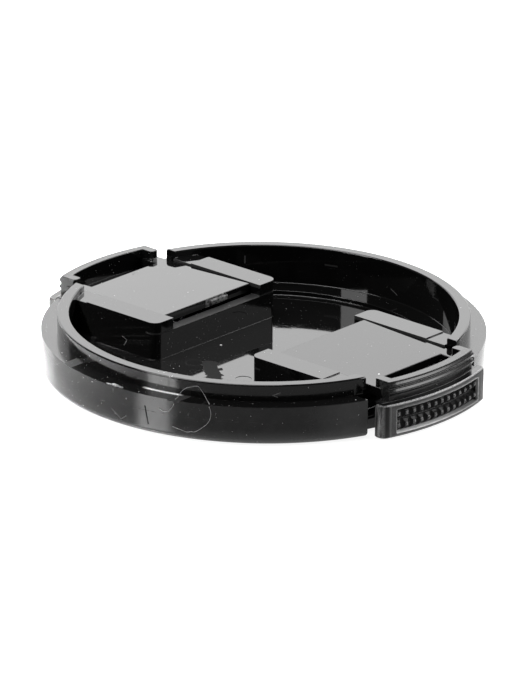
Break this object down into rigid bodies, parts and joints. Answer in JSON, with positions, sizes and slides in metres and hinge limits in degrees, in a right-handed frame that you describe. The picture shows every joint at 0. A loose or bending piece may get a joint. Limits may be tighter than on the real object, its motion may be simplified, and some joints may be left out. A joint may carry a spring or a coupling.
{
  "type": "camera lens cap",
  "caption": "Round black clip-on lens cap with a stepped rim and sprung side pinch tabs whose threaded arcs grip a lens filter thread; shown inside up.",
  "frame": {"origin": "centre of the front face, which the cap lies on", "axes": "+X along the line of travel of the tabs, towards the right tab; +Z from the front face towards the lens"},
  "size_m": [0.0514, 0.048, 0.006],
  "materials": {
    "body_plastic": "glossy black moulded plastic with dust and fine scratches",
    "tab_plastic": "black moulded plastic, glossy on the tongue and satin on the grip",
    "spring_steel": "bright spring wire"
  },
  "bodies": {
    "cap": {"cap_body": "body_plastic", "spring_right": "spring_steel", "spring_left": "spring_steel"},
    "right_tab": {"tab_right": "tab_plastic"},
    "left_tab": {"tab_left": "tab_plastic"}
  },
  "joints": [
    {"name": "right_pinch", "type": "slide", "parent": "cap", "child": "right_tab", "axis": [-1, 0, 0], "range_m": [0, 0.0023], "stiffness_N_per_m": 400, "springref_m": -0.002, "deforming": ["spring_right"]},
    {"name": "left_pinch", "type": "slide", "parent": "cap", "child": "left_tab", "axis": [1, 0, 0], "range_m": [0, 0.0023], "stiffness_N_per_m": 400, "springref_m": -0.002, "deforming": ["spring_left"]}
  ]
}
